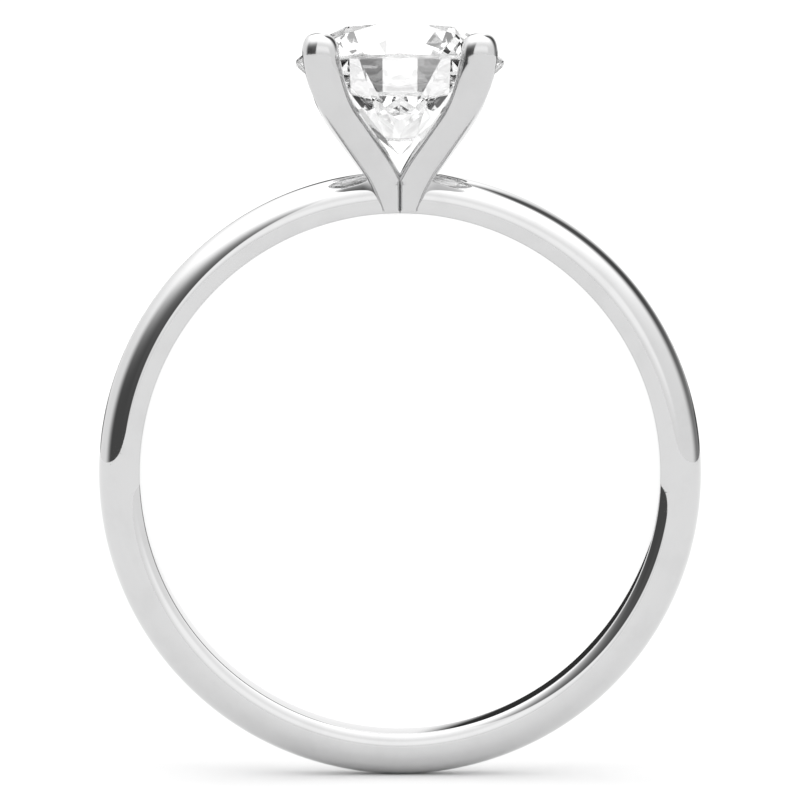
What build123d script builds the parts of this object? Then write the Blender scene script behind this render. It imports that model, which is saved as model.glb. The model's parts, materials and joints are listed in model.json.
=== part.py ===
from build123d import *

import os
from math import asin, cos, degrees, hypot, pi, radians, sin, sqrt, tan

# Four-claw solitaire engagement ring, in millimetres and degrees.
# The origin is the centre of the finger bore, +Y runs along the finger and
# +Z points from the finger to the stone.

# ---- Driving dimensions -------------------------------------------------

# Shank: a D-shaped wire bent round the finger
finger_size = 51.0           # inner circumference, as ring sizes are given in ISO 8653
band_width = 1.80            # along the finger
band_thickness = 1.34        # finger to the crown of the dome
inner_easing_radius = 0.80   # easing of both inner sides, from the widest point down to the bore
inner_edge_round = 0.085     # rounding where the easing meets the bore
shank_end_gap = 0.60         # opening between the two raw ends, before the claws are let in

# Stone: a 57-facet round brilliant, one carat
stone_diameter = 6.50
table_ratio = 0.56           # table, corner to corner, over the diameter
crown_angle = 34.8           # bezel facets against the girdle plane
pavilion_angle = 40.7        # main facets against the girdle plane
girdle_thickness = 0.18
star_length = 0.50           # how far the stars reach from the table edge to the girdle
lower_half_length = 0.78     # how far the lower halves reach from the girdle to the culet
culet_lift = 0.50            # clear height between the shank's dome and the culet

# Claws: four square wires, curved out from the shank and up round the girdle
claw_width = 0.96
claw_corner_round = 0.27
claw_foot_x = 0.045          # centre of the wire at the bore, across the ring
claw_foot_y = 0.42           # the same, along the finger
claw_foot_lean = 20.3        # from upright, at the bore
claw_lean = 43.3             # from upright, along the straight stretch
claw_lower_bend = 5.00       # bend radius above the foot
claw_upper_bend = 3.58       # bend radius below the tip
claw_groove_round = 0.20     # rounding of the mitre's front edges, which leaves a groove
claw_tip_rise = 0.69         # top of the tip above the middle of the girdle
claw_tip_radius = 0.60       # round filed on the tip
notch_depth = 0.42           # how far the girdle is let into the wire
seat_clearance = 0.01        # between the girdle and its seat, and a little less below it

# ---- Worked-out sizes ---------------------------------------------------

bore_radius = finger_size / (2 * pi)
band_radius = bore_radius + band_thickness
band_crest = band_radius - band_width / 2      # where the half-round outside is widest
easing_centre = band_width / 2 - inner_easing_radius
easing_span = inner_easing_radius - inner_edge_round
easing_turn = degrees(asin((band_crest - bore_radius - inner_edge_round) / easing_span))
bore_half_length = easing_centre + easing_span * cos(radians(easing_turn))
stone_radius = stone_diameter / 2
table_radius = table_ratio * stone_radius
crown_height = (stone_radius - table_radius) * tan(radians(crown_angle))
pavilion_depth = stone_radius * tan(radians(pavilion_angle))
girdle_height = band_radius + culet_lift + pavilion_depth + girdle_thickness / 2
claw_top_xy = (stone_radius + claw_width / sqrt(2) - notch_depth) / sqrt(2)
tip_centre_height = girdle_height + claw_tip_rise - claw_tip_radius

MAINS = 8                    # bezels, pavilion mains and stars in one turn
MAIN_STEP = 360 / MAINS
FAR = 4 * (band_radius + stone_diameter)   # longer than anything in the ring


# ---- Shank --------------------------------------------------------------

def bore_edge():
    """The outline of the bore from its middle to the end of one rounded edge."""
    wall = Line((bore_radius, 0), (bore_radius, bore_half_length))
    return JernArc(wall @ 1, wall % 1, inner_edge_round, easing_turn - 90)


def band():
    """The closed band: half-round outside, with its inner sides eased towards the bore."""
    half = band_width / 2
    diagonal = half * sqrt(0.5)
    with BuildPart() as ring:
        with BuildSketch(Plane.XY):
            with BuildLine():
                edge = bore_edge()
                JernArc(edge @ 1, edge % 1, inner_easing_radius, -easing_turn)
                ThreePointArc((band_crest, half), (band_crest + diagonal, diagonal), (band_radius, 0))
                mirror(about=Plane.XZ)
            make_face()
        revolve(axis=Axis.Y)
    return ring.part


def finger_space():
    """The finger's space at the claws, which widens past the band's rounded edges."""
    flare = bore_radius + inner_edge_round
    with BuildPart() as space:
        with BuildSketch(Plane.XY):
            with BuildLine():
                edge = bore_edge()
                rise = (flare - (edge @ 1).X) * (edge % 1).Y / (edge % 1).X
                out = (edge @ 1).Y + rise
                Polyline(edge @ 1, (flare, out), (flare, FAR), (0, FAR), (0, 0), (bore_radius, 0))
            make_face()
        revolve(axis=Axis.Y)
        mirror(about=Plane.XZ)
    return space.part


def shank():
    """The band, opened at the top and let in round the feet of the claws."""
    opening = Pos(0, 0, band_radius) * Box(shank_end_gap, 2 * band_width, 2 * band_thickness)
    body = band() - opening
    for wire in four(claw_wire()).values():
        body = body - wire
    return main_solid(body)


def main_solid(shape):
    """The largest solid of a cut shape."""
    return max(shape.solids(), key=lambda solid: solid.volume)


# ---- Claws --------------------------------------------------------------

def claw_centreline():
    """The wire's centreline: foot, lower bend, straight, upper bend and upright tip."""
    run_x = claw_top_xy - claw_foot_x
    run_y = claw_top_xy - claw_foot_y
    travel = hypot(run_x, run_y)
    plane = Plane(
        origin=(claw_foot_x, claw_foot_y, bore_radius),
        x_dir=(run_x, run_y, 0),
        z_dir=(run_y, -run_x, 0),
    )
    foot, lean = radians(claw_foot_lean), radians(claw_lean)
    lower = claw_lower_bend * (cos(foot) - cos(lean))
    upper = claw_upper_bend * (1 - cos(lean))
    straight = (travel - lower - upper) / sin(lean)
    run_in = claw_width
    with BuildLine(plane) as line:
        start = Line((-run_in * sin(foot), -run_in * cos(foot)), (0, 0))
        low = JernArc(start @ 1, start % 1, claw_lower_bend, claw_foot_lean - claw_lean)
        middle = PolarLine(low @ 1, straight, direction=low % 1)
        high = JernArc(middle @ 1, middle % 1, claw_upper_bend, claw_lean)
        PolarLine(high @ 1, claw_width, direction=high % 1)
    return line.line


def tip_form():
    """What is left of the wire after the tip is filed to a dome."""
    centre = claw_centreline().intersect(Plane.XY.offset(tip_centre_height))[0].center()
    below = Pos(0, 0, tip_centre_height - FAR / 2) * Box(FAR, FAR, FAR)
    return below + Pos(*centre) * Sphere(claw_tip_radius)


def groove_edges(body):
    """The steep edges where a claw's front meets the mitre with its neighbour across the ring."""
    edges = []
    for edge in body.edges():
        box = edge.bounding_box()
        on_mitre = max(abs(box.min.X), abs(box.max.X)) < seat_clearance
        if on_mitre and box.min.Y > claw_foot_y and box.size.Z > 2 * box.size.Y:
            edges.append(edge)
    return edges


def claw_wire():
    """The wire of the +X +Y quarter, filed at the tip and mitred to its neighbours."""
    path = claw_centreline()
    foot = path @ 0
    section = Pos(foot.X, foot.Y, foot.Z) * RectangleRounded(claw_width, claw_width, claw_corner_round)
    tangent = path % 0
    turn_axis = Vector(-tangent.Y, tangent.X, 0)
    section = section.rotate(Axis(foot, turn_axis), claw_foot_lean)
    quarter = Pos(FAR / 2, FAR / 2, 0) * Box(FAR, FAR, 4 * FAR)
    return sweep(section, path=path) & quarter & tip_form()


def claw():
    """The claw of the +X +Y quarter, fitted to the finger, notched for the stone and grooved."""
    body = main_solid(claw_wire() - finger_space() - stone_seat())
    return fillet(groove_edges(body), claw_groove_round)


# ---- Stone --------------------------------------------------------------

def polar_point(radius, azimuth, height):
    """A point of the stone, from its radius, its azimuth and its height over the girdle."""
    angle = radians(azimuth)
    return Vector(radius * cos(angle), radius * sin(angle), height)


def facet(body, a, b, c):
    """Grinds one flat facet through three points, and keeps the side of the stone's centre."""
    normal = (b - a).cross(c - a).normalized()
    if normal.dot(a) < 0:
        normal = -normal
    return body.split(Plane(origin=a, z_dir=normal), keep=Keep.BOTTOM)


def crown_points():
    """Radius and height of the star tips, and the height of the girdle's upper edge."""
    edge = girdle_thickness / 2
    flat = table_radius * cos(radians(MAIN_STEP / 2))
    star_radius = flat + star_length * (stone_radius - flat)
    reach = stone_radius - star_radius * cos(radians(MAIN_STEP / 2))
    return star_radius, edge + reach * tan(radians(crown_angle)), edge


def grind_crown(body):
    """Table, bezels, stars and upper halves."""
    star_radius, star_height, edge = crown_points()
    table_height = edge + crown_height
    body = body.split(Plane(origin=(0, 0, table_height), z_dir=(0, 0, 1)), keep=Keep.BOTTOM)
    for index in range(MAINS):
        main = (index + 0.5) * MAIN_STEP
        for side in (-1, 1):
            half = main + side * MAIN_STEP / 2
            star_tip = polar_point(star_radius, half, star_height)
            rim_main = polar_point(stone_radius, main, edge)
            rim_half = polar_point(stone_radius, half, edge)
            body = facet(body, rim_main, rim_half, star_tip)
        table_corner = polar_point(table_radius, main, table_height)
        along_rim = rim_main + Vector(-rim_main.Y, rim_main.X, 0)
        body = facet(body, rim_main, along_rim, table_corner)
        next_corner = polar_point(table_radius, main + MAIN_STEP, table_height)
        body = facet(body, table_corner, next_corner, star_tip)
    return body


def grind_pavilion(body):
    """Pavilion mains and lower halves, down to the pointed culet."""
    edge = -girdle_thickness / 2
    tip_radius = stone_radius * (1 - lower_half_length)
    reach = stone_radius - tip_radius * cos(radians(MAIN_STEP / 2))
    tip_height = edge - reach * tan(radians(pavilion_angle))
    culet = Vector(0, 0, edge - pavilion_depth)
    for index in range(MAINS):
        main = (index + 0.5) * MAIN_STEP
        rim_main = polar_point(stone_radius, main, edge)
        for side in (-1, 1):
            half = main + side * MAIN_STEP / 2
            rim_half = polar_point(stone_radius, half, edge)
            body = facet(body, rim_main, rim_half, polar_point(tip_radius, half, tip_height))
        along_rim = rim_main + Vector(-rim_main.Y, rim_main.X, 0)
        body = facet(body, rim_main, along_rim, culet)
    return body


def brilliant():
    """The round brilliant, ground from a round blank, with its girdle at the origin."""
    blank = Cylinder(stone_radius, 4 * stone_radius).solid()
    return grind_pavilion(grind_crown(blank))


def diamond():
    """The stone in its place over the shank."""
    return Pos(0, 0, girdle_height) * brilliant()


def stone_seat():
    """The space that the claws leave for the stone: its own facets, plus the clearance."""
    growth = 1 + seat_clearance / stone_radius
    return Pos(0, 0, girdle_height) * scale(brilliant(), by=growth)


# ---- Assembly -----------------------------------------------------------

def four(shape):
    """A shape of the +X +Y quarter and its mirror images in the other three, by place."""
    front_right = shape.mirror(Plane.XZ)
    front_left = front_right.mirror(Plane.YZ)
    return {
        "front_right": front_right,
        "front_left": front_left,
        "rear_right": front_right.mirror(Plane.XZ),
        "rear_left": front_left.mirror(Plane.XZ),
    }


def main():
    """Writes one STEP file for each piece."""
    pieces = {"shank": shank(), "diamond": diamond()}
    for place, shape in four(claw()).items():
        pieces[f"claw_{place}"] = shape
    os.makedirs("parts", exist_ok=True)
    for name, shape in pieces.items():
        export_step(shape, f"parts/{name}.step")


main()
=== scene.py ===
"""The looks of a four-claw solitaire engagement ring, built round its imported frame.

The shank is a half-round band, the claws are square wires curved up from the
finger, and the stone is a round brilliant. Sizes are in millimetres, in the
frame's own axes: +Y along the finger and +Z towards the stone. Each mesh is
brought to metres when it becomes an object.
"""

from __future__ import annotations

import json
import logging
import math
from dataclasses import dataclass
from enum import Enum
from functools import cache

import bmesh
import bpy
from bmesh.types import BMEdge, BMesh, BMFace, BMVert
from bpy.types import Material, Node, NodeSocket, NodeTree, Object
from mathutils import Matrix, Vector


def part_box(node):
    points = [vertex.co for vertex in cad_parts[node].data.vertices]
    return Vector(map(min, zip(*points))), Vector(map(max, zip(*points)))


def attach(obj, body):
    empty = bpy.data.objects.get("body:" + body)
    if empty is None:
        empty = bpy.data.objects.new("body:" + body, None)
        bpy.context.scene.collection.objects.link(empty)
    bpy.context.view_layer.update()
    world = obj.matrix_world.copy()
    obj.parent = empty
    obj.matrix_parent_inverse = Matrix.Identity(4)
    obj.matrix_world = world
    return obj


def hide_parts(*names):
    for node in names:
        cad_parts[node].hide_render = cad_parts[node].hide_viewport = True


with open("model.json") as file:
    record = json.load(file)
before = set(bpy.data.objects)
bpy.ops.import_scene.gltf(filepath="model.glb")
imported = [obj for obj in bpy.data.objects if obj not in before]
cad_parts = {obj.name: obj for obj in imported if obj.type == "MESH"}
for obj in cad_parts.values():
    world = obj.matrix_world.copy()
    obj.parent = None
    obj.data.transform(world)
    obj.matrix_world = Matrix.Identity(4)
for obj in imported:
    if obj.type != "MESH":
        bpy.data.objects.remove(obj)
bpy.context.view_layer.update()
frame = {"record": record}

MM = 0.001
WELD = 1e-5
CUT_REACH = 1e-6
ROUND_PROFILE = 0.5
STONE_BOUNCES = 32
METAL_BOUNCES = 12
BODY = "root"
UP = Vector((0, 0, 1))
ACROSS = Vector((1, 0, 0))
ALONG_FINGER = Vector((0, 1, 0))
QUARTER_TURN = math.pi / 2
FULL_TURN = 2 * math.pi
LOG = logging.getLogger("ring")


# ---- Frame readings -----------------------------------------------------


@dataclass(frozen=True)
class NodeBox:
    """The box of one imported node, in millimetres."""

    low: Vector
    high: Vector

    @classmethod
    def of(cls, node: str) -> NodeBox:
        """Reads a node's box from the frame.

        Args:
            node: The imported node's name.

        Returns:
            Its lowest and highest corners, in millimetres.
        """
        low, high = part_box(node)
        return cls(low / MM, high / MM)


def bore_radius() -> float:
    """The finger bore's radius, as its mount states it, in millimetres."""
    mounts = {mount["name"]: mount for mount in frame["record"]["mounts"]}
    return mounts["finger_bore"]["dims"]["r_mm"]


# ---- Mesh helpers -------------------------------------------------------


def shade(bm: BMesh, sharp_angle: float) -> None:
    """Shades a mesh smooth and marks its true edges sharp.

    Args:
        bm: The mesh.
        sharp_angle: Edges that turn by more than this many degrees stay sharp.
    """
    limit = math.radians(sharp_angle)
    for face in bm.faces:
        face.smooth = True
    for edge in bm.edges:
        edge.smooth = len(edge.link_faces) == 2 and edge.calc_face_angle(0.0) < limit


def as_object(bm: BMesh, name: str) -> Object:
    """Turns a finished mesh in millimetres into an object in metres at the origin.

    Args:
        bm: The mesh, which is freed.
        name: The object's name.

    Returns:
        The new object, linked to the scene.
    """
    bmesh.ops.scale(bm, vec=(MM, MM, MM), verts=bm.verts)
    mesh = bpy.data.meshes.new(name)
    bm.to_mesh(mesh)
    bm.free()
    piece = bpy.data.objects.new(name, mesh)
    bpy.context.scene.collection.objects.link(piece)
    return piece


def weigh_normals(piece: Object) -> None:
    """Lets flat faces keep their flat shading beside rounded edges."""
    modifier = piece.modifiers.new("flat faces stay flat", "WEIGHTED_NORMAL")
    modifier.mode = "FACE_AREA"
    modifier.keep_sharp = True


def carve(piece: Object, cutter: Object) -> None:
    """Cuts one closed mesh out of another and removes the cutter.

    Args:
        piece: The object that is cut.
        cutter: The closed object that is taken out of it.
    """
    modifier = piece.modifiers.new("notch", "BOOLEAN")
    modifier.operation = "DIFFERENCE"
    modifier.solver = "EXACT"
    modifier.object = cutter
    evaluated = piece.evaluated_get(bpy.context.evaluated_depsgraph_get())
    carved = bpy.data.meshes.new_from_object(evaluated)
    piece.modifiers.remove(modifier)
    piece.data = carved
    carved.name = piece.name
    bpy.data.objects.remove(cutter)


def corners_of(geometry: list) -> list[BMVert]:
    """The vertices in a list of mesh elements."""
    return [item for item in geometry if isinstance(item, BMVert)]


def arc(bm: BMesh, start: BMVert, centre: Vector, axis: Vector, angle: float, steps: int) -> BMVert:
    """Draws an arc from a vertex.

    Args:
        bm: The mesh that receives the outline.
        start: The vertex that it starts from.
        centre: The arc's centre.
        axis: The axis that it turns about.
        angle: How far it turns, in radians.
        steps: How many edges it has.

    Returns:
        The vertex that it ends at.
    """
    spun = bmesh.ops.spin(
        bm, geom=[start], cent=centre, axis=axis, angle=angle, steps=steps, use_merge=False
    )
    return corners_of(spun["geom_last"])[0]


def step(bm: BMesh, start: BMVert, move: Vector) -> BMVert:
    """Draws one straight edge from a vertex.

    Args:
        bm: The mesh that receives the outline.
        start: The vertex that it starts from.
        move: The edge, as a vector.

    Returns:
        The vertex that it ends at.
    """
    moved = bmesh.ops.extrude_vert_indiv(bm, verts=[start])["verts"][0]
    bmesh.ops.translate(bm, verts=[moved], vec=move)
    return moved


def middle_of(geometry: list) -> Vector:
    """The middle of the vertices in a list of mesh elements."""
    verts = corners_of(geometry)
    return sum((vert.co for vert in verts), Vector()) / len(verts)


def push(bm: BMesh, end: list, move: Vector, keep_foot: bool = False) -> list:
    """Lengthens a bar from its end face.

    Args:
        bm: The mesh.
        end: The end face and its edges and vertices.
        move: How far and which way the end goes.
        keep_foot: Whether the old end face stays, as the foot of the bar.

    Returns:
        The new end face and its edges and vertices.
    """
    faces = [item for item in end if isinstance(item, BMFace)]
    grown = bmesh.ops.extrude_face_region(bm, geom=faces, use_keep_orig=keep_foot)["geom"]
    if not keep_foot:
        leftover = [face for face in faces if face.is_valid]
        bmesh.ops.delete(bm, geom=leftover, context="FACES_ONLY")
    bmesh.ops.translate(bm, verts=corners_of(grown), vec=move)
    return grown


def resize(bm: BMesh, end: list, centre: Vector, ratio: float) -> None:
    """Scales an end face about a point.

    Args:
        bm: The mesh.
        end: The end face and its edges and vertices.
        centre: The point that stays in place.
        ratio: The scale.
    """
    space = Matrix.Translation(-centre)
    bmesh.ops.scale(bm, vec=(ratio, ratio, ratio), verts=corners_of(end), space=space)


def file_round(end: list, centre: Vector, share: float) -> None:
    """Brings an end face's outline closer to the circle that fits inside it.

    Args:
        end: The end face and its edges and vertices.
        centre: The circle's centre.
        share: How much of the way it goes, from 0 to 1.
    """
    verts = corners_of(end)
    radius = min((vert.co - centre).length for vert in verts)
    for vert in verts:
        arm = vert.co - centre
        vert.co = centre + arm.lerp(arm.normalized() * radius, share)


def cut_flat(bm: BMesh, point: Vector, normal: Vector) -> None:
    """Cuts a closed mesh flat and closes the cut.

    Args:
        bm: The mesh.
        point: A point of the cutting plane.
        normal: The plane's normal, on the side that is taken away.
    """
    everything = bm.verts[:] + bm.edges[:] + bm.faces[:]
    cut = bmesh.ops.bisect_plane(
        bm, geom=everything, dist=CUT_REACH, plane_co=point, plane_no=normal, clear_outer=True
    )
    rim = [item for item in cut["geom_cut"] if isinstance(item, BMEdge)]
    if rim:
        bmesh.ops.contextual_create(bm, geom=rim)


def ease(share: float) -> float:
    """Eases a share from 0 to 1 in and out."""
    return share * share * (3 - 2 * share)


# ---- Node helpers -------------------------------------------------------


def noise(tree: NodeTree, vector: NodeSocket, scale: float, detail: float) -> NodeSocket:
    """Adds a noise texture.

    Args:
        tree: The node tree.
        vector: The coordinates it reads.
        scale: Its scale, per metre.
        detail: Its octaves.

    Returns:
        The noise value's socket.
    """
    node = tree.nodes.new("ShaderNodeTexNoise")
    node.inputs["Scale"].default_value = scale
    node.inputs["Detail"].default_value = detail
    tree.links.new(vector, node.inputs["Vector"])
    return node.outputs["Fac"]


def math_node(tree: NodeTree, operation: str, *values: NodeSocket | float) -> NodeSocket:
    """Adds a Math node.

    Args:
        tree: The node tree.
        operation: The Math node's operation.
        values: Its inputs, as sockets or numbers.

    Returns:
        The result's socket.
    """
    node = tree.nodes.new("ShaderNodeMath")
    node.operation = operation
    for socket, value in zip(node.inputs, values):
        if isinstance(value, NodeSocket):
            tree.links.new(value, socket)
        else:
            socket.default_value = value
    return node.outputs[0]


def ramp(
    tree: NodeTree,
    value: NodeSocket,
    span: tuple[float, float],
    result: tuple[float, float] = (0.0, 1.0),
) -> NodeSocket:
    """Maps a value from one range to another, easing in and out.

    Args:
        tree: The node tree.
        value: The value's socket.
        span: The range it comes in.
        result: The range it goes to.

    Returns:
        The mapped value's socket.
    """
    node = tree.nodes.new("ShaderNodeMapRange")
    node.interpolation_type = "SMOOTHSTEP"
    tree.links.new(value, node.inputs["Value"])
    names = ("From Min", "From Max", "To Min", "To Max")
    for name, number in zip(names, span + result):
        node.inputs[name].default_value = number
    return node.outputs["Result"]


def tint(
    tree: NodeTree,
    mask: NodeSocket,
    tones: tuple[tuple[float, float, float], tuple[float, float, float]],
) -> NodeSocket:
    """Blends two colours by a mask.

    Args:
        tree: The node tree.
        mask: The mask, from 0 to 1.
        tones: The colours at 0 and at 1.

    Returns:
        The colour's socket.
    """
    mix = tree.nodes.new("ShaderNodeMix")
    mix.data_type = "RGBA"
    for name, tone in zip(("A", "B"), tones):
        mix.inputs[name].default_value = (*tone, 1.0)
    tree.links.new(mask, mix.inputs["Factor"])
    return mix.outputs["Result"]


# ---- Polish traces ------------------------------------------------------


@dataclass(frozen=True)
class PolishTraces:
    """The haze and hairlines that a polished metal surface keeps."""

    haze_scale: float = 900.0
    haze_detail: float = 5.0
    haze_roughness: float = 0.6
    haze_span: tuple[float, float] = (0.42, 0.72)
    hairline_scale: float = 9000.0
    hairline_detail: float = 2.0
    hairline_span: tuple[float, float] = (0.66, 0.78)
    stroke_turns: tuple[float, float] = (0.5, -0.9)
    stroke_tilt: float = 0.3
    stroke_bearing: float = 0.7
    stroke_stretch: float = 0.06

    def haze(self, group: NodeTree, place: NodeSocket, scale: NodeSocket) -> NodeSocket:
        """Adds the haze.

        Args:
            group: The node group.
            place: The object's coordinates.
            scale: The haze's scale, per metre.

        Returns:
            The haze mask.
        """
        cloud = group.nodes.new("ShaderNodeTexNoise")
        cloud.inputs["Detail"].default_value = self.haze_detail
        cloud.inputs["Roughness"].default_value = self.haze_roughness
        group.links.new(place, cloud.inputs["Vector"])
        group.links.new(scale, cloud.inputs["Scale"])
        return ramp(group, cloud.outputs["Fac"], self.haze_span)

    def stroke(
        self, group: NodeTree, place: NodeSocket, scale: NodeSocket, turn: float
    ) -> NodeSocket:
        """Adds the hairlines of one polishing direction.

        Args:
            group: The node group.
            place: The object's coordinates.
            scale: The hairlines' scale, per metre.
            turn: The direction, in radians.

        Returns:
            The hairline mask.
        """
        mapping = group.nodes.new("ShaderNodeMapping")
        mapping.inputs["Rotation"].default_value = (self.stroke_tilt * turn, turn, self.stroke_bearing)
        mapping.inputs["Scale"].default_value = (self.stroke_stretch, 1.0, 1.0)
        group.links.new(place, mapping.inputs["Vector"])
        line = group.nodes.new("ShaderNodeTexNoise")
        line.inputs["Detail"].default_value = self.hairline_detail
        group.links.new(mapping.outputs["Vector"], line.inputs["Vector"])
        group.links.new(scale, line.inputs["Scale"])
        return ramp(group, line.outputs["Fac"], self.hairline_span)

    @cache
    def group(self) -> NodeTree:
        """Builds the traces once, for every metal that shows them.

        Returns:
            A node group that gives a haze mask, a hairline mask and a height.
        """
        group = bpy.data.node_groups.new("polish traces", "ShaderNodeTree")
        for name, start in (("Haze Scale", self.haze_scale), ("Hairline Scale", self.hairline_scale)):
            socket = group.interface.new_socket(name, in_out="INPUT", socket_type="NodeSocketFloat")
            socket.default_value = start
        for name in ("Haze", "Hairlines", "Height"):
            group.interface.new_socket(name, in_out="OUTPUT", socket_type="NodeSocketFloat")
        haze_scale, hairline_scale = group.nodes.new("NodeGroupInput").outputs[:2]
        leave = group.nodes.new("NodeGroupOutput")
        place = group.nodes.new("ShaderNodeTexCoord").outputs["Object"]
        masks = [self.stroke(group, place, hairline_scale, turn) for turn in self.stroke_turns]
        strokes = math_node(group, "MAXIMUM", *masks)
        group.links.new(self.haze(group, place, haze_scale), leave.inputs["Haze"])
        group.links.new(strokes, leave.inputs["Hairlines"])
        group.links.new(math_node(group, "MULTIPLY", strokes, -1.0), leave.inputs["Height"])
        return group


# ---- Finishes -----------------------------------------------------------


def new_material(name: str) -> tuple[Material, Node]:
    """Makes an empty node material.

    Args:
        name: The material's name.

    Returns:
        The material and its Principled shader.
    """
    material = bpy.data.materials.new(name)
    material.use_nodes = True
    return material, material.node_tree.nodes["Principled BSDF"]


@dataclass(frozen=True)
class PolishedMetal:
    """White gold under its final polish, with a trace of haze and hairlines."""

    name: str
    tone: tuple[float, float, float]
    gloss: float
    haze: float = 0.03
    hairline: float = 0.05
    hazed_tone: float = 0.96
    scratch_strength: float = 0.05
    scratch_depth: float = 0.000002
    traces: PolishTraces = PolishTraces()

    def material(self) -> Material:
        """Builds the finish."""
        material, shader = new_material(self.name)
        tree = material.node_tree
        traces = tree.nodes.new("ShaderNodeGroup")
        traces.node_tree = self.traces.group()
        traces.inputs["Haze Scale"].default_value = self.traces.haze_scale
        traces.inputs["Hairline Scale"].default_value = self.traces.hairline_scale

        hazed = math_node(tree, "MULTIPLY_ADD", traces.outputs["Haze"], self.haze, self.gloss)
        rough = math_node(tree, "MULTIPLY_ADD", traces.outputs["Hairlines"], self.hairline, hazed)
        tree.links.new(rough, shader.inputs["Roughness"])
        dulled = tuple(self.hazed_tone * part for part in self.tone)
        colour = tint(tree, traces.outputs["Haze"], (self.tone, dulled))
        tree.links.new(colour, shader.inputs["Base Color"])

        bump = tree.nodes.new("ShaderNodeBump")
        bump.inputs["Strength"].default_value = self.scratch_strength
        bump.inputs["Distance"].default_value = self.scratch_depth
        tree.links.new(traces.outputs["Height"], bump.inputs["Height"])
        tree.links.new(bump.outputs["Normal"], shader.inputs["Normal"])
        shader.inputs["Metallic"].default_value = 1.0
        return material


@dataclass(frozen=True)
class BrilliantFinish:
    """Polished colourless diamond, with a faintly bruted girdle."""

    girdle_height: float
    girdle_thickness: float
    name: str = "colourless diamond"
    index: float = 2.417
    girdle_roughness: float = 0.25
    girdle_fade: tuple[float, float] = (0.7, 0.95)
    grain_scale: float = 20000.0
    grain_detail: float = 3.0
    grain_span: tuple[float, float] = (0.3, 0.7)
    grain_low: float = 0.4

    def material(self) -> Material:
        """Builds the finish."""
        material, shader = new_material(self.name)
        tree = material.node_tree
        place = tree.nodes.new("ShaderNodeTexCoord").outputs["Object"]
        split = tree.nodes.new("ShaderNodeSeparateXYZ")
        tree.links.new(place, split.inputs["Vector"])
        above = math_node(tree, "SUBTRACT", split.outputs["Z"], self.girdle_height * MM)
        away = math_node(tree, "ABSOLUTE", above)
        fade = tuple(share * self.girdle_thickness * MM / 2 for share in self.girdle_fade)
        on_girdle = ramp(tree, away, fade, (1.0, 0.0))
        speckle = noise(tree, place, self.grain_scale, self.grain_detail)
        grain = ramp(tree, speckle, self.grain_span, (self.grain_low, 1.0))
        frosted = math_node(tree, "MULTIPLY", on_girdle, grain)
        rough = math_node(tree, "MULTIPLY", frosted, self.girdle_roughness)
        tree.links.new(rough, shader.inputs["Roughness"])
        shader.inputs["Base Color"].default_value = (1.0, 1.0, 1.0, 1.0)
        shader.inputs["IOR"].default_value = self.index
        shader.inputs["Transmission Weight"].default_value = 1.0
        return material


@dataclass(frozen=True)
class FloorFinish:
    """A pale matt table top with a barely visible mottle."""

    name: str = "pale table"
    tone: float = 0.92
    mottled_tone: float = 0.99
    mottle_scale: float = 60.0
    mottle_detail: float = 4.0
    mottle_span: tuple[float, float] = (0.3, 0.7)
    roughness: float = 0.9
    sheen: float = 0.1

    def material(self) -> Material:
        """Builds the finish."""
        material, shader = new_material(self.name)
        tree = material.node_tree
        place = tree.nodes.new("ShaderNodeTexCoord").outputs["Object"]
        mottle = ramp(tree, noise(tree, place, self.mottle_scale, self.mottle_detail), self.mottle_span)
        darker = self.tone * self.mottled_tone
        colour = tint(tree, mottle, ((self.tone,) * 3, (darker,) * 3))
        tree.links.new(colour, shader.inputs["Base Color"])
        shader.inputs["Roughness"].default_value = self.roughness
        shader.inputs["Specular IOR Level"].default_value = self.sheen
        return material


def dress(piece: Object, material: Material, node: str) -> None:
    """Gives a piece its finish and its place in the frame.

    Args:
        piece: The finished object.
        material: Its finish.
        node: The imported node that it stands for.
    """
    piece.data.materials.clear()
    piece.data.materials.append(material)
    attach(piece, BODY)
    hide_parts(node)


# ---- Shank --------------------------------------------------------------


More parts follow.
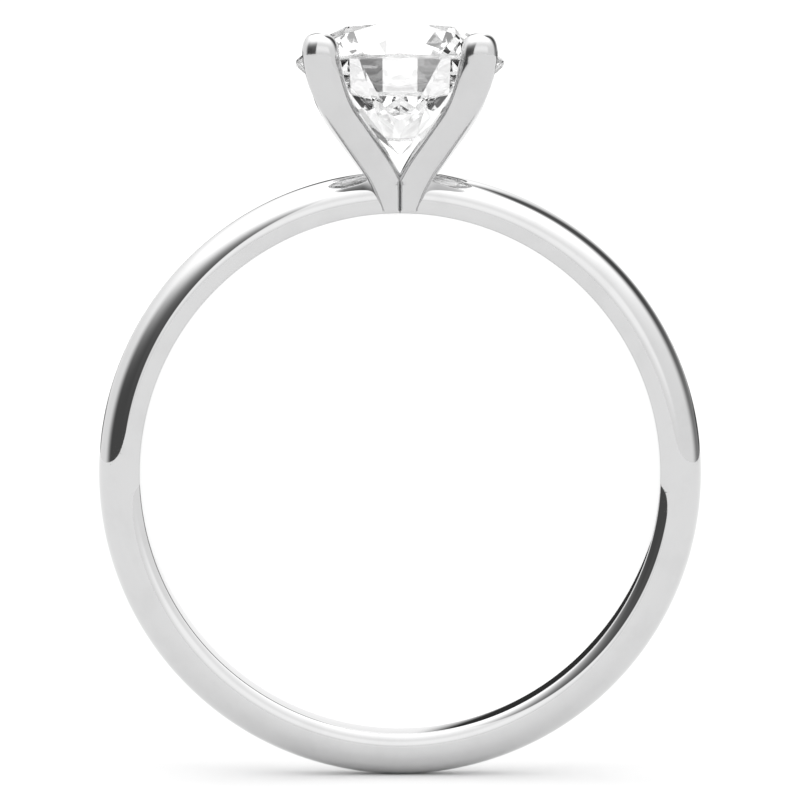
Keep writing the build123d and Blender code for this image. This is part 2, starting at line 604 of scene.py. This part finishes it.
@dataclass(frozen=True)
class Shank:
    """The half-round band, eased inside and open at the top where the claws are let in.

    easing and edge_round are the radii of each inner side: the easing from
    where the band is widest, and the edge that it meets the bore with.
    """

    bore: float
    outside: float
    width: float
    easing: float = 0.80
    edge_round: float = 0.085
    end_gap: float = 0.60
    dome_steps: int = 56
    easing_steps: int = 10
    edge_steps: int = 8
    turn_steps: int = 480
    cutter_steps: int = 360
    sharp_angle: float = 60.0

    @classmethod
    def from_frame(cls) -> Shank:
        """Takes the shank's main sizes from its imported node."""
        box = NodeBox.of("shank")
        outside = max(-box.low.z, box.high.x)
        return cls(bore=bore_radius(), outside=outside, width=box.high.y - box.low.y)

    @property
    def half(self) -> float:
        """Half the band's width, which is also the radius of its half-round outside."""
        return self.width / 2

    @property
    def crest(self) -> float:
        """Radius at which the band is widest."""
        return self.outside - self.half

    @property
    def easing_turn(self) -> float:
        """How far each inner side turns before the edge of the bore, in radians."""
        return math.asin((self.crest - self.bore - self.edge_round) / (self.easing - self.edge_round))

    @property
    def wall(self) -> float:
        """Half the length of the bore's straight wall."""
        return self.half - self.easing + (self.easing - self.edge_round) * math.cos(self.easing_turn)

    def edge(self, bm: BMesh, start: BMVert, hand: int) -> BMVert:
        """Draws the rounded edge between the easing and the bore.

        Args:
            bm: The mesh that receives the outline.
            start: The vertex where the easing ends.
            hand: 1 for the side at +Y, -1 for the side at -Y.

        Returns:
            The vertex where the edge meets the bore.
        """
        centre = Vector((0, hand * self.wall, self.bore + self.edge_round))
        turn = hand * (self.easing_turn - QUARTER_TURN)
        return arc(bm, start, centre, ACROSS, turn, self.edge_steps)

    def section(self, bm: BMesh) -> None:
        """Draws the closed section in the plane across the ring's top.

        Args:
            bm: The mesh that receives the outline.
        """
        start = bm.verts.new((0, self.half, self.crest))
        far = arc(bm, start, UP * self.crest, ACROSS, math.pi, self.dome_steps)
        feet = []
        for hand, vert in ((1, start), (-1, far)):
            centre = Vector((0, hand * (self.half - self.easing), self.crest))
            eased = arc(bm, vert, centre, ACROSS, -hand * self.easing_turn, self.easing_steps)
            feet.append(self.edge(bm, eased, hand))
        bm.edges.new(feet)

    def build(self) -> Object:
        """Turns the section round the finger and closes both ends.

        Returns:
            The shank.
        """
        bm = bmesh.new()
        self.section(bm)
        bmesh.ops.remove_doubles(bm, verts=bm.verts, dist=WELD)
        opening = math.asin(self.end_gap / 2 / self.crest)
        bmesh.ops.rotate(bm, verts=bm.verts, cent=(0, 0, 0), matrix=Matrix.Rotation(opening, 3, "Y"))
        first = bm.edges[:]
        spun = bmesh.ops.spin(
            bm, geom=first, cent=(0, 0, 0), axis=ALONG_FINGER,
            angle=FULL_TURN - 2 * opening, steps=self.turn_steps, use_merge=False,
        )
        last = [item for item in spun["geom_last"] if isinstance(item, BMEdge)]
        for rim in (first, last):
            bmesh.ops.contextual_create(bm, geom=rim)
        bmesh.ops.recalc_face_normals(bm, faces=bm.faces)
        shade(bm, self.sharp_angle)
        piece = as_object(bm, "shank_polished")
        weigh_normals(piece)
        return piece

    def finger_cutter(self) -> Object:
        """The finger's space under the claws, which widens past the band's rounded edges.

        Returns:
            The cutter, a ring that reaches halfway to the bore's axis.
        """
        bm = bmesh.new()
        reach = 2 * self.width
        start = bm.verts.new((0, self.wall, self.bore))
        centre = Vector((0, self.wall, self.bore + self.edge_round))
        last = arc(bm, start, centre, ACROSS, QUARTER_TURN - self.easing_turn, self.edge_steps)
        flare = self.bore + self.edge_round
        rise = (flare - last.co.z) * math.tan(self.easing_turn)
        for move in ((0, rise, flare - last.co.z), (0, reach, 0), (0, 0, self.bore / 2 - flare)):
            last = step(bm, last, Vector(move))
        far = step(bm, start, Vector((0, -reach, 0)))
        inner = step(bm, far, Vector((0, 0, -self.bore / 2)))
        bm.edges.new((last, inner))
        bmesh.ops.remove_doubles(bm, verts=bm.verts, dist=WELD)
        bmesh.ops.spin(
            bm, geom=bm.verts[:] + bm.edges[:], cent=(0, 0, 0), axis=ALONG_FINGER,
            angle=FULL_TURN, steps=self.cutter_steps, use_merge=True,
        )
        bmesh.ops.remove_doubles(bm, verts=bm.verts, dist=WELD)
        bmesh.ops.recalc_face_normals(bm, faces=bm.faces)
        return as_object(bm, "finger_cutter")


# ---- Stone --------------------------------------------------------------


@dataclass(frozen=True)
class Brilliant:
    """A 57-facet round brilliant with a pointed culet.

    A face is part of the girdle while its normal rises by less than
    girdle_tilt.
    """

    radius: float
    girdle_height: float
    table_ratio: float = 0.56
    crown_angle: float = 34.8
    pavilion_angle: float = 40.7
    girdle: float = 0.18
    star_length: float = 0.50
    lower_half_length: float = 0.78
    rim_segments: int = 192
    mains: int = 8
    girdle_tilt: float = 0.01

    @property
    def pitch(self) -> float:
        """The angle from one main facet to the next, in degrees."""
        return 360 / self.mains

    @classmethod
    def from_frame(cls) -> Brilliant:
        """Takes the stone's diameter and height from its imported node."""
        box = NodeBox.of("diamond")
        radius = (box.high.x - box.low.x) / 2
        culet_depth = radius * math.tan(math.radians(cls.pavilion_angle)) + cls.girdle / 2
        return cls(radius=radius, girdle_height=box.low.z + culet_depth)

    def point(self, radius: float, azimuth: float, height: float) -> Vector:
        """A point of the stone, from its radius, azimuth in degrees and height over the girdle."""
        angle = math.radians(azimuth)
        return Vector((radius * math.cos(angle), radius * math.sin(angle), height))

    def grind(self, bm: BMesh, a: Vector, b: Vector, c: Vector) -> None:
        """Grinds one facet through three points, away from the stone's centre."""
        normal = (b - a).cross(c - a).normalized()
        if normal.dot(a) < 0:
            normal.negate()
        cut_flat(bm, a, normal)

    def grind_crown(self, bm: BMesh) -> None:
        """Grinds the table, the bezels, the stars and the upper halves."""
        edge = self.girdle / 2
        slope = math.tan(math.radians(self.crown_angle))
        flat_ratio = math.cos(math.radians(self.pitch / 2))
        table = self.table_ratio * self.radius
        top = edge + (self.radius - table) * slope
        flat = table * flat_ratio
        star = flat + self.star_length * (self.radius - flat)
        star_top = edge + (self.radius - star * flat_ratio) * slope
        cut_flat(bm, UP * top, UP)
        for index in range(self.mains):
            main = (index + 0.5) * self.pitch
            rim = self.point(self.radius, main, edge)
            corner = self.point(table, main, top)
            for side in (-1, 1):
                half = main + side * self.pitch / 2
                tip = self.point(star, half, star_top)
                self.grind(bm, rim, self.point(self.radius, half, edge), tip)
            self.grind(bm, rim, rim + Vector((-rim.y, rim.x, 0)), corner)
            self.grind(bm, corner, self.point(table, main + self.pitch, top), tip)

    def grind_pavilion(self, bm: BMesh) -> None:
        """Grinds the lower halves and the pavilion mains, down to the culet."""
        edge = -self.girdle / 2
        slope = math.tan(math.radians(self.pavilion_angle))
        flat_ratio = math.cos(math.radians(self.pitch / 2))
        reach = self.radius * (1 - self.lower_half_length)
        height = edge - (self.radius - reach * flat_ratio) * slope
        culet = UP * (edge - self.radius * slope)
        for index in range(self.mains):
            main = (index + 0.5) * self.pitch
            rim = self.point(self.radius, main, edge)
            for side in (-1, 1):
                half = main + side * self.pitch / 2
                foot = self.point(reach, half, height)
                self.grind(bm, rim, self.point(self.radius, half, edge), foot)
            self.grind(bm, rim, rim + Vector((-rim.y, rim.x, 0)), culet)

    def blank(self) -> BMesh:
        """Grinds the whole stone from a round blank, in its place over the shank."""
        bm = bmesh.new()
        bmesh.ops.create_cone(
            bm, cap_ends=True, segments=self.rim_segments,
            radius1=self.radius, radius2=self.radius, depth=4 * self.radius,
        )
        self.grind_crown(bm)
        self.grind_pavilion(bm)
        bmesh.ops.remove_doubles(bm, verts=bm.verts, dist=WELD)
        bmesh.ops.recalc_face_normals(bm, faces=bm.faces)
        bmesh.ops.translate(bm, verts=bm.verts, vec=(0, 0, self.girdle_height))
        return bm

    def build(self) -> Object:
        """Builds the stone with crisp facets and a round girdle.

        Returns:
            The stone.
        """
        bm = self.blank()
        for face in bm.faces:
            face.smooth = abs(face.normal.z) < self.girdle_tilt
        for edge in bm.edges:
            edge.smooth = all(face.smooth for face in edge.link_faces)
        return as_object(bm, "diamond_brilliant")

    def seat_cutter(self, clearance: float) -> Object:
        """A slightly larger copy of the stone, which leaves its seat in a claw.

        Args:
            clearance: How much larger it is at the girdle.

        Returns:
            The cutter.
        """
        bm = self.blank()
        growth = 1 + clearance / self.radius
        centre = Matrix.Translation(UP * -self.girdle_height)
        bmesh.ops.scale(bm, vec=(growth, growth, growth), verts=bm.verts, space=centre)
        return as_object(bm, "seat_cutter")


# ---- Claws --------------------------------------------------------------


class Corner(Enum):
    """The four claws, each with its name and the signs of X and Y of its quarter."""

    FRONT_LEFT = ("front_left", -1, -1)
    FRONT_RIGHT = ("front_right", 1, -1)
    REAR_LEFT = ("rear_left", -1, 1)
    REAR_RIGHT = ("rear_right", 1, 1)

    def __init__(self, label: str, across: int, along: int) -> None:
        """Keeps the name, and the scale that mirrors a claw of the +X +Y quarter.

        Args:
            label: The corner's name, as the claw's node has it.
            across: The sign of X.
            along: The sign of Y.
        """
        self.label = label
        self.signs = (across, along, 1)


@dataclass(frozen=True)
class Claw:
    """A square wire that curves out from the finger, then up round the girdle.

    foot_lean and lean are in degrees from upright. The wire swells by
    tip_swell about a point swell_centre outside its middle, and its corners
    are filed round by tip_filing before its dome, which closes at tip_close
    of a quarter turn.
    """

    bore: float
    top_xy: float
    girdle_height: float
    wire: float = 0.96
    corner_round: float = 0.27
    foot_x: float = 0.045
    foot_y: float = 0.42
    foot_lean: float = 20.3
    lean: float = 43.3
    lower_bend: float = 5.00
    upper_bend: float = 3.58
    groove_round: float = 0.20
    tip_rise: float = 0.735
    tip_height: float = 0.88
    tip_power: float = 3.0
    tip_close: float = 0.985
    tip_swell: float = 1.20
    swell_centre: float = 0.12
    tip_filing: float = 0.45
    filing_power: int = 4
    dome_filing_power: int = 3
    seat_clearance: float = 0.01
    sharp_angle: float = 32.0
    corner_steps: int = 10
    flat_steps: int = 6
    lower_steps: int = 40
    upper_steps: int = 48
    tip_steps: int = 24
    groove_stride: int = 4

    @classmethod
    def from_frame(cls, stone: Brilliant) -> Claw:
        """Takes the claws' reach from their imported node.

        Args:
            stone: The stone that they hold.

        Returns:
            The claw of the +X +Y quarter.
        """
        top_xy = NodeBox.of("claw_rear_right").high.x - cls.wire / 2
        return cls(bore=bore_radius(), top_xy=top_xy, girdle_height=stone.girdle_height)

    @property
    def travel(self) -> Vector:
        """The unit direction in which the wire leans."""
        return Vector((self.top_xy - self.foot_x, self.top_xy - self.foot_y, 0)).normalized()

    @property
    def hinge(self) -> Vector:
        """The axis about which the wire is bent outwards."""
        return UP.cross(self.travel)

    def along(self, lean: float) -> Vector:
        """The wire's direction at a lean, in radians from upright."""
        return self.travel * math.sin(lean) + UP * math.cos(lean)

    def outward(self, lean: float) -> Vector:
        """The direction square to the wire, away from the stone, at a lean in radians."""
        return self.travel * math.cos(lean) - UP * math.sin(lean)

    def straight(self) -> float:
        """Length of the straight stretch between the two bends."""
        foot, lean = math.radians(self.foot_lean), math.radians(self.lean)
        run = math.hypot(self.top_xy - self.foot_x, self.top_xy - self.foot_y)
        lower = self.lower_bend * (math.cos(foot) - math.cos(lean))
        upper = self.upper_bend * (1 - math.cos(lean))
        return (run - (lower + upper)) / math.sin(lean)

    def bend(self, bm: BMesh, end: list, centre: Vector, angle: float, steps: int) -> list:
        """Carries the wire's end face round a bend.

        Args:
            bm: The mesh.
            end: The end face and its edges and vertices.
            centre: The centre of the bend.
            angle: How far it turns, in radians, outwards if positive.
            steps: How many steps it has.

        Returns:
            The new end face and its edges and vertices.
        """
        spun = bmesh.ops.spin(
            bm, geom=end, cent=centre, axis=self.hinge, angle=angle, steps=steps, use_merge=False
        )
        return spun["geom_last"]

    def section(self, bm: BMesh, centre: Vector) -> list:
        """Draws the rounded square section, square to the wire at its foot.

        Args:
            bm: The mesh.
            centre: The section's centre.

        Returns:
            The face with its edges and vertices.
        """
        bmesh.ops.create_grid(bm, x_segments=1, y_segments=1, size=self.wire / 2)
        bmesh.ops.bevel(
            bm, geom=bm.verts[:], offset=self.corner_round, offset_type="OFFSET",
            segments=self.corner_steps, profile=ROUND_PROFILE, affect="VERTICES", material=-1,
        )
        flats = [edge for edge in bm.edges if edge.calc_length() > self.wire / self.flat_steps]
        bmesh.ops.subdivide_edges(bm, edges=flats, cuts=self.flat_steps)
        tilt = Matrix.Rotation(math.radians(self.foot_lean), 3, self.hinge)
        bmesh.ops.rotate(bm, verts=bm.verts, cent=(0, 0, 0), matrix=tilt)
        bmesh.ops.translate(bm, verts=bm.verts, vec=centre)
        return bm.faces[:] + bm.edges[:] + bm.verts[:]

    def draw_wire(self, bm: BMesh) -> None:
        """Draws the wire from below the bore to the end of its tip.

        Args:
            bm: The mesh.
        """
        foot, lean = math.radians(self.foot_lean), math.radians(self.lean)
        place = Vector((self.foot_x, self.foot_y, self.bore))
        run_in = self.along(foot) * self.wire
        end = push(bm, self.section(bm, place - run_in), run_in)
        centre = place + self.outward(foot) * self.lower_bend
        end = self.bend(bm, end, centre, lean - foot, self.lower_steps)
        move = self.along(lean) * self.straight()
        end = push(bm, end, move)
        place = centre - self.outward(lean) * self.lower_bend + move
        centre = place - self.outward(lean) * self.upper_bend
        tip_foot = self.girdle_height + self.tip_rise - self.tip_height
        last = math.asin((centre.z - tip_foot) / self.upper_bend)
        end = self.swell_upwards(bm, end, centre, lean, last)
        self.round_tip(bm, end, centre, last)

    def swell_upwards(self, bm: BMesh, end: list, centre: Vector, lean: float, last: float) -> list:
        """Bends the wire upright while it thickens towards the stone.

        Args:
            bm: The mesh.
            end: The end face and its edges and vertices.
            centre: The centre of the upper bend.
            lean: The lean at its start, in radians.
            last: The lean at its end, in radians.

        Returns:
            The new end face and its edges and vertices.
        """
        share, squareness = 1.0, 1.0
        for index in range(1, self.upper_steps + 1):
            turned = index / self.upper_steps
            end = self.bend(bm, end, centre, (last - lean) / self.upper_steps, 1)
            new_share = 1 + (self.tip_swell - 1) * ease(turned)
            now = lean + (last - lean) * turned
            anchor = centre + self.outward(now) * (self.upper_bend + self.swell_centre)
            resize(bm, end, anchor, new_share / share)
            new_squareness = 1 - self.tip_filing * turned**self.filing_power
            file_round(end, middle_of(end), 1 - new_squareness / squareness)
            share, squareness = new_share, new_squareness
        return end

    def round_tip(self, bm: BMesh, end: list, centre: Vector, lean: float) -> None:
        """Closes the wire with a filed round dome that follows the last of the bend.

        Args:
            bm: The mesh.
            end: The end face and its edges and vertices.
            centre: The centre of the upper bend.
            lean: The lean at the dome's foot, in radians.
        """
        place = middle_of(end)
        reach, foot = (place - centre).length, place.z
        share, squareness, now = 1.0, 1.0, lean
        for index in range(1, self.tip_steps + 1):
            angle = QUARTER_TURN * min(index / self.tip_steps, self.tip_close)
            height = foot + self.tip_height * math.sin(angle) ** (2 / self.tip_power)
            new_lean = math.asin(max(0.0, centre.z - height) / reach)
            new_place = centre + self.outward(new_lean) * reach
            new_place.z = height
            end = push(bm, end, new_place - place)
            tilt = Matrix.Rotation(new_lean - now, 3, self.hinge)
            bmesh.ops.rotate(bm, verts=corners_of(end), cent=new_place, matrix=tilt)
            new_share = math.cos(angle) ** (2 / self.tip_power)
            new_squareness = math.cos(angle) ** self.dome_filing_power
            resize(bm, end, new_place, new_share / share)
            file_round(end, new_place, 1 - new_squareness / squareness)
            place, share, squareness, now = new_place, new_share, new_squareness, new_lean

    def groove_cutter(self, line: list[Vector]) -> Object:
        """What is filed away to round the mitre's front edge into a groove.

        Args:
            line: The edge, from its foot upwards.

        Returns:
            The cutter.
        """
        bm = bmesh.new()
        reach = self.wire / 3
        foot = line[0]
        start = bm.verts.new((self.groove_round, foot.y, foot.z))
        centre = Vector((self.groove_round, foot.y - self.groove_round, foot.z))
        inner = arc(bm, start, centre, UP, QUARTER_TURN, self.corner_steps)
        side = step(bm, inner, Vector((-reach, 0, 0)))
        corner = step(bm, side, Vector((0, self.groove_round + reach, 0)))
        front = step(bm, start, Vector((0, reach, 0)))
        bm.edges.new((corner, front))
        bmesh.ops.remove_doubles(bm, verts=bm.verts, dist=WELD)
        bmesh.ops.contextual_create(bm, geom=bm.edges[:])
        end = bm.faces[:] + bm.edges[:] + bm.verts[:]
        for low, high in zip(line, line[1:]):
            end = push(bm, end, high - low, keep_foot=low is foot)
        bmesh.ops.recalc_face_normals(bm, faces=bm.faces)
        return as_object(bm, "groove_cutter")

    def mitre_line(self, bm: BMesh) -> list[Vector]:
        """The front edge of the mitre across the ring, from its foot upwards.

        Args:
            bm: The mitred wire.

        Returns:
            A few points of the edge up to its foremost one, with one past each end.
        """
        behind = self.foot_y + self.wire / 4
        front = [
            vert.co.copy() for vert in bm.verts
            if abs(vert.co.x) < WELD and vert.co.y > behind and vert.co.z > self.bore
        ]
        front.sort(key=lambda point: point.z)
        peak = max(range(len(front)), key=lambda index: front[index].y)
        below = Vector((0, -self.wire / 20, -self.wire / 2))
        ahead = Vector((0, self.wire / 2, self.wire / 2))
        return [front[0] + below, *front[:peak:self.groove_stride], front[peak], front[peak] + ahead]

    def build_quarter(self, stone: Brilliant, shank: Shank) -> Object:
        """Builds the claw of the +X +Y quarter, mitred, grooved and fitted to finger and stone.

        Args:
            stone: The stone that is let into it.
            shank: The shank that it stands in.

        Returns:
            The claw, not yet dressed.
        """
        bm = bmesh.new()
        self.draw_wire(bm)
        bmesh.ops.recalc_face_normals(bm, faces=bm.faces)
        for side in (ACROSS, ALONG_FINGER):
            cut_flat(bm, Vector(), -side)
        groove = self.groove_cutter(self.mitre_line(bm))
        bmesh.ops.recalc_face_normals(bm, faces=bm.faces)
        piece = as_object(bm, "claw_quarter")
        for cutter in (groove, shank.finger_cutter(), stone.seat_cutter(self.seat_clearance)):
            carve(piece, cutter)
        return piece

    def build(self, corner: Corner, quarter: Object) -> Object:
        """Builds one claw as a mirror image of the +X +Y one.

        Args:
            corner: Where it stands.
            quarter: The claw of the +X +Y quarter.

        Returns:
            The claw.
        """
        bm = bmesh.new()
        bm.from_mesh(quarter.data)
        bmesh.ops.scale(bm, vec=corner.signs, verts=bm.verts)
        bmesh.ops.remove_doubles(bm, verts=bm.verts, dist=WELD * MM)
        bmesh.ops.recalc_face_normals(bm, faces=bm.faces)
        shade(bm, self.sharp_angle)
        bmesh.ops.scale(bm, vec=(1 / MM, 1 / MM, 1 / MM), verts=bm.verts)
        piece = as_object(bm, f"claw_{corner.label}_polished")
        weigh_normals(piece)
        return piece


# ---- Studio -------------------------------------------------------------


@dataclass(frozen=True)
class Flag:
    """A dark card far out in the studio, in degrees as seen from the ring.

    The azimuth is 0 towards the camera and grows to the camera's right. What
    the card lets through is foot at the horizon, body above foot_fade, and
    everything above its top.
    """

    left: float
    right: float
    left_fade: float
    right_fade: float
    top: float
    top_fade: float
    body: float
    foot: float
    foot_fade: float = 35.0

    def let_through(self, tree: NodeTree, azimuth: NodeSocket, elevation: NodeSocket) -> NodeSocket:
        """Adds the nodes that say how much of the light gets past the card.

        Args:
            tree: The world's node tree.
            azimuth: The direction's azimuth.
            elevation: The direction's elevation.

        Returns:
            A share from 0 to 1.
        """
        after_left = ramp(tree, azimuth, (self.left - self.left_fade, self.left))
        before_right = ramp(tree, azimuth, (self.right, self.right + self.right_fade), (1.0, 0.0))
        across = math_node(tree, "MULTIPLY", after_left, before_right)
        over_top = ramp(tree, elevation, (self.top, self.top + self.top_fade))
        eased_top = math_node(tree, "MULTIPLY", over_top, over_top)
        card = ramp(tree, elevation, (0.0, self.foot_fade), (1.0 - self.foot, 1.0 - self.body))
        kept = math_node(tree, "MULTIPLY", card, math_node(tree, "SUBTRACT", 1.0, eased_top))
        return math_node(tree, "SUBTRACT", 1.0, math_node(tree, "MULTIPLY", across, kept))


@dataclass(frozen=True)
class Glow:
    """A softly lit panel behind the camera, in degrees as seen from the ring."""

    strength: float = 0.3
    half_width: float = 25.0
    side_fade: float = 12.0
    foot_fade: float = 10.0
    top: float = 15.0
    top_fade: float = 13.0

    def light(self, tree: NodeTree, azimuth: NodeSocket, elevation: NodeSocket) -> NodeSocket:
        """Adds the nodes for the panel's light.

        Args:
            tree: The world's node tree.
            azimuth: The direction's azimuth.
            elevation: The direction's elevation.

        Returns:
            The light that the panel adds.
        """
        aside = math_node(tree, "ABSOLUTE", azimuth)
        sides = (self.half_width, self.half_width + self.side_fade)
        across = ramp(tree, aside, sides, (self.strength, 0.0))
        above = ramp(tree, elevation, (0.0, self.foot_fade))
        below = ramp(tree, elevation, (self.top, self.top + self.top_fade), (1.0, 0.0))
        return math_node(tree, "MULTIPLY", across, math_node(tree, "MULTIPLY", above, below))


@dataclass(frozen=True)
class Studio:
    """A white tent with an overhead softbox, a front panel and dark cards, over a pale floor."""

    floor_height: float
    white: float = 1.05
    fill: float = 1.12
    overhead: float = 0.9
    overhead_full: float = 60.0
    floor_reach: float = 3000.0
    front: Glow = Glow()
    flags: tuple[Flag, ...] = (
        # Broad, in front, on the left.
        Flag(
            left=-68.0, right=-16.0, left_fade=32.0, right_fade=3.0,
            top=4.0, top_fade=44.0, body=0.085, foot=0.085,
        ),
        # Tall and soft, behind, on the right.
        Flag(
            left=118.0, right=135.0, left_fade=34.0, right_fade=34.0,
            top=60.0, top_fade=15.0, body=0.06, foot=0.28,
        ),
        # Narrow, straight behind.
        Flag(
            left=-177.5, right=-170.0, left_fade=2.0, right_fade=3.0,
            top=25.0, top_fade=12.0, body=0.03, foot=0.03,
        ),
        # Low, behind, on the right.
        Flag(
            left=147.0, right=169.0, left_fade=12.0, right_fade=3.0,
            top=3.0, top_fade=3.0, body=0.06, foot=0.06,
        ),
        # Low and pale, behind, on the left.
        Flag(
            left=-169.0, right=-147.0, left_fade=2.0, right_fade=6.0,
            top=3.0, top_fade=3.0, body=0.25, foot=0.25,
        ),
    )

    def floor(self) -> Object:
        """Lays the floor under the ring.

        Returns:
            The floor.
        """
        bm = bmesh.new()
        bmesh.ops.create_grid(bm, x_segments=2, y_segments=2, size=self.floor_reach)
        bmesh.ops.translate(bm, verts=bm.verts, vec=(0, 0, self.floor_height))
        floor = as_object(bm, "studio_floor")
        floor.data.materials.append(FloorFinish().material())
        return floor

    def light(self) -> None:
        """Lights the ring with the tent, the softbox, the panel and the cards."""
        world = bpy.data.worlds.new("studio tent")
        bpy.context.scene.world = world
        world.use_nodes = True
        tree = world.node_tree
        back = tree.nodes["Background"]
        direction = tree.nodes.new("ShaderNodeTexCoord").outputs["Generated"]
        split = tree.nodes.new("ShaderNodeSeparateXYZ")
        tree.links.new(direction, split.inputs["Vector"])
        x, y, z = split.outputs
        towards = math_node(tree, "MULTIPLY", y, -1.0)
        azimuth = math_node(tree, "DEGREES", math_node(tree, "ARCTAN2", x, towards))
        elevation = math_node(tree, "DEGREES", math_node(tree, "ARCSINE", z))

        high = ramp(tree, elevation, (0.0, self.overhead_full))
        lift = math_node(tree, "MULTIPLY", math_node(tree, "MULTIPLY", high, high), self.overhead)
        tent = math_node(tree, "ADD", lift, self.white)
        tent = math_node(tree, "ADD", tent, self.front.light(tree, azimuth, elevation))
        for flag in self.flags:
            tent = math_node(tree, "MULTIPLY", tent, flag.let_through(tree, azimuth, elevation))

        path = tree.nodes.new("ShaderNodeLightPath")
        seen, scattered = path.outputs["Is Camera Ray"], path.outputs["Is Diffuse Ray"]
        plain = math_node(tree, "MAXIMUM", seen, scattered)
        strength = tree.nodes.new("ShaderNodeMix")
        strength.data_type = "FLOAT"
        tree.links.new(plain, strength.inputs["Factor"])
        tree.links.new(tent, strength.inputs["A"])
        strength.inputs["B"].default_value = self.fill
        tree.links.new(strength.outputs["Result"], back.inputs["Strength"])
        back.inputs["Color"].default_value = (1.0, 1.0, 1.0, 1.0)


@dataclass(frozen=True)
class View:
    """The camera in front of the ring, a little above the finger.

    The distance and the height are in millimetres, the lens and its sensor as
    makers state them, and the nearest and farthest visible points in metres.
    """

    distance: float = 115.0
    height: float = 4.8
    look_down: float = 1.25
    lens: float = 164.9
    sensor: float = 36.0
    nearest: float = 0.001
    farthest: float = 20.0

    def place(self) -> Object:
        """Places the camera and makes it the scene's own.

        Returns:
            The camera.
        """
        data = bpy.data.cameras.new("camera")
        data.lens = self.lens
        data.sensor_width = self.sensor
        data.clip_start = self.nearest
        data.clip_end = self.farthest
        camera = bpy.data.objects.new("camera", data)
        camera.location = (0.0, -self.distance * MM, self.height * MM)
        camera.rotation_euler = (math.radians(90.0 - self.look_down), 0.0, 0.0)
        bpy.context.scene.collection.objects.link(camera)
        bpy.context.scene.camera = camera
        return camera


def set_light_paths() -> None:
    """Lets light travel far enough inside the stone and keeps plain colours."""
    scene = bpy.context.scene
    scene.view_settings.view_transform = "Standard"
    scene.cycles.max_bounces = STONE_BOUNCES
    scene.cycles.transmission_bounces = STONE_BOUNCES
    scene.cycles.glossy_bounces = METAL_BOUNCES


def write_sizes() -> None:
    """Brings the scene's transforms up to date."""
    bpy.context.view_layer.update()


def main() -> None:
    """Builds the ring piece by piece, then its studio."""
    logging.basicConfig(level=logging.INFO, format="%(name)s: %(message)s")
    stone = Brilliant.from_frame()
    shank = Shank.from_frame()
    claw = Claw.from_frame(stone)

    band_metal = PolishedMetal("polished white gold", tone=(0.63, 0.63, 0.632), gloss=0.015)
    claw_metal = PolishedMetal("polished claw metal", tone=(0.60, 0.60, 0.602), gloss=0.10)
    diamond = BrilliantFinish(stone.girdle_height, stone.girdle)

    band = shank.build()
    dress(band, band_metal.material(), "shank")
    LOG.info("shank: %d faces", len(band.data.polygons))
    metal = claw_metal.material()
    quarter = claw.build_quarter(stone, shank)
    for corner in Corner:
        piece = claw.build(corner, quarter)
        dress(piece, metal, f"claw_{corner.label}")
        LOG.info("claw %s: %d faces", corner.label, len(piece.data.polygons))
    bpy.data.objects.remove(quarter)
    gem = stone.build()
    dress(gem, diamond.material(), "diamond")
    LOG.info("stone: %d faces", len(gem.data.polygons))

    studio = Studio(floor_height=-shank.outside)
    studio.floor()
    studio.light()
    View().place()
    set_light_paths()
    write_sizes()


if __name__ == "__main__":
    main()
